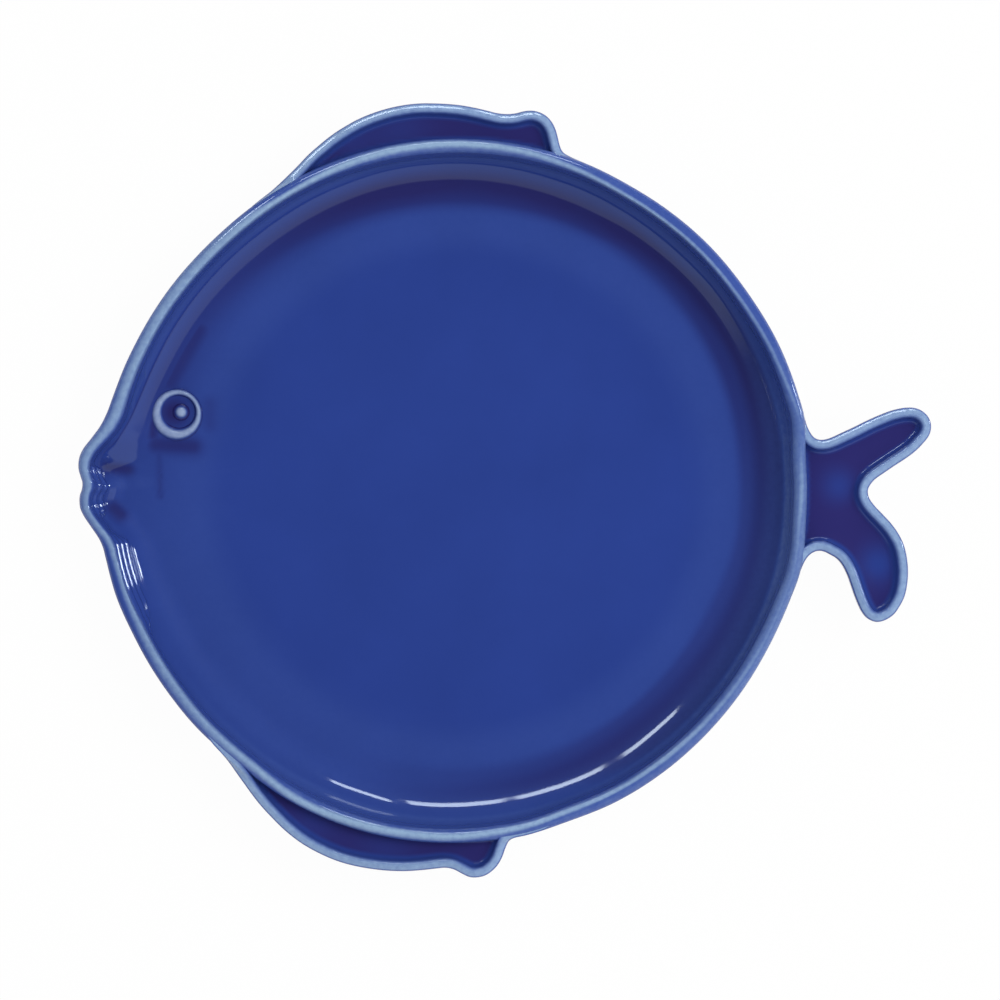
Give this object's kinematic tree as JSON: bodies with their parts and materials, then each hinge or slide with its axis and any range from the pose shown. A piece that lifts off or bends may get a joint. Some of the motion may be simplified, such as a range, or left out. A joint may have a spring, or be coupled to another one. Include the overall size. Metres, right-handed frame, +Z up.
{
  "type": "fish shaped platter",
  "caption": "Round deep serving platter in blue glazed stoneware, shaped as a fish with a pinched snout, an eye, beaded tray fins and a forked tail.",
  "frame": {"origin": "on the table, under the middle of the platter's outline box", "axes": "+X from the snout to the tail, +Y to the dorsal fin, +Z up out of the dish"},
  "size_m": [0.3652, 0.3318, 0.038],
  "materials": {
    "blue_glaze": "gloss cobalt glaze, thin and pale on raised edges, deep in hollows",
    "bare_stoneware": "matt unglazed biscuit, ground flat"
  },
  "bodies": {
    "root": {"dish_body": "blue_glaze", "dorsal_fin": "blue_glaze", "pelvic_fin": "blue_glaze", "tail_fin": "blue_glaze", "eye_ring": "blue_glaze", "eye_pupil": "blue_glaze", "foot_ring": "bare_stoneware"}
  },
  "joints": []
}
